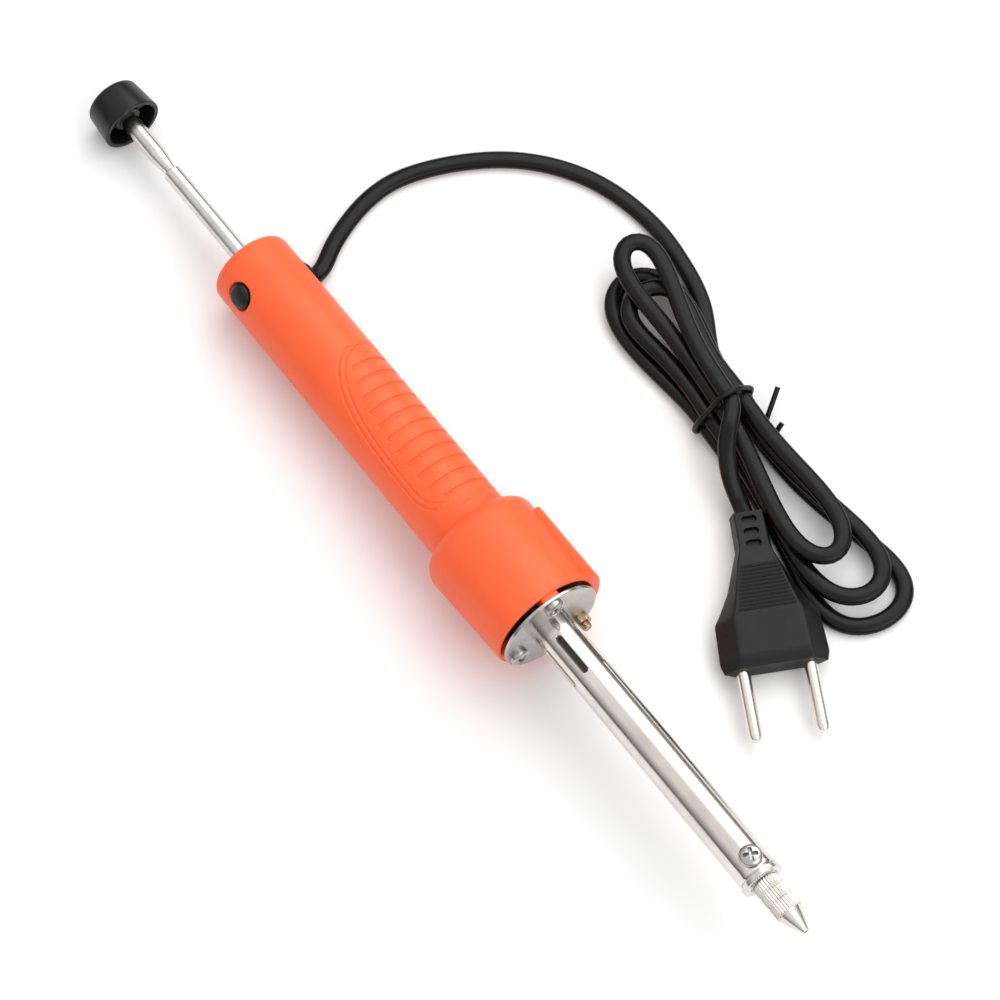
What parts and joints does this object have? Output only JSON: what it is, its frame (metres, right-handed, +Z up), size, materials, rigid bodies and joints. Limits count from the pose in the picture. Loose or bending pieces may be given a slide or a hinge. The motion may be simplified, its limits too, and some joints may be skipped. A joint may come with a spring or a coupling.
{
  "type": "desoldering iron",
  "caption": "Hand-held desoldering iron with a built-in spring-loaded suction pump, push-to-release button, heated barrel and nozzle, and a tied mains cord with plug.",
  "frame": {"origin": "on the floor under the middle of the iron's length and width, measured without the cord and plug", "axes": "+X along the iron from the push cap to the nozzle, +Y toward the cord's side, +Z up; the iron lies on its cap and finger guard"},
  "size_m": [0.3258, 0.1229, 0.0386],
  "materials": {
    "orange_plastic": "satin moulded",
    "grey_plastic": "moulded",
    "black_plastic": "semi-gloss",
    "black_rubber": "matte",
    "steel": "plain",
    "spring_steel": "drawn wire",
    "white_plastic": "moulded",
    "nickel": "polished nickel",
    "ceramic": "unglazed ceramic",
    "heating_wire": "oxidised",
    "mica": "mica sheet",
    "zinc": "zinc plated",
    "brass": "plain",
    "white_sleeve": "glass-fibre sleeve",
    "wire_sleeve": "extruded",
    "cord_pvc": "extruded",
    "plug_pvc": "moulded"
  },
  "bodies": {
    "handle": {"handle_body": "orange_plastic", "rear_bush": "grey_plastic", "latch_spring": "spring_steel", "cord_grommet": "black_rubber", "pump_cylinder": "steel", "cylinder_seal": "grey_plastic", "retaining_clip": "spring_steel", "return_spring": "spring_steel", "suction_tube": "steel", "heater_core": "ceramic", "heater_winding": "heating_wire", "mica_sleeve": "mica", "barrel": "nickel", "flange_plate": "nickel", "insulating_washer": "black_plastic", "flange_screws": "zinc", "flange_stud": "brass", "flange_nut": "brass", "tip_holder": "steel", "nozzle": "nickel", "barrel_screw": "zinc", "wire_splices": "steel", "heater_leads": "white_sleeve", "supply_wires": "wire_sleeve", "cord_lead": "cord_pvc", "cord_hank": "cord_pvc", "cord_tail": "cord_pvc", "cord_tie": "black_plastic", "plug_body": "plug_pvc", "plug_pins": "nickel"},
    "plunger": {"plunger_rod": "nickel", "plunger_cap": "black_plastic", "piston": "white_plastic", "piston_oring": "black_rubber", "piston_nut": "steel"},
    "latch": {"release_button": "black_plastic", "latch_plate": "steel"}
  },
  "joints": [
    {"name": "plunger_slide", "type": "slide", "parent": "handle", "child": "plunger", "axis": [0.9979, 0, 0.0642], "range_m": [0, 0.045], "stiffness_N_per_m": 366, "springref_m": -0.022, "deforming": ["return_spring"]},
    {"name": "button_press", "type": "slide", "parent": "handle", "child": "latch", "axis": [0.0368, 0.8192, -0.5724], "range_m": [0, 0.0012], "stiffness_N_per_m": 1200, "springref_m": -0.002, "deforming": ["latch_spring"]}
  ]
}
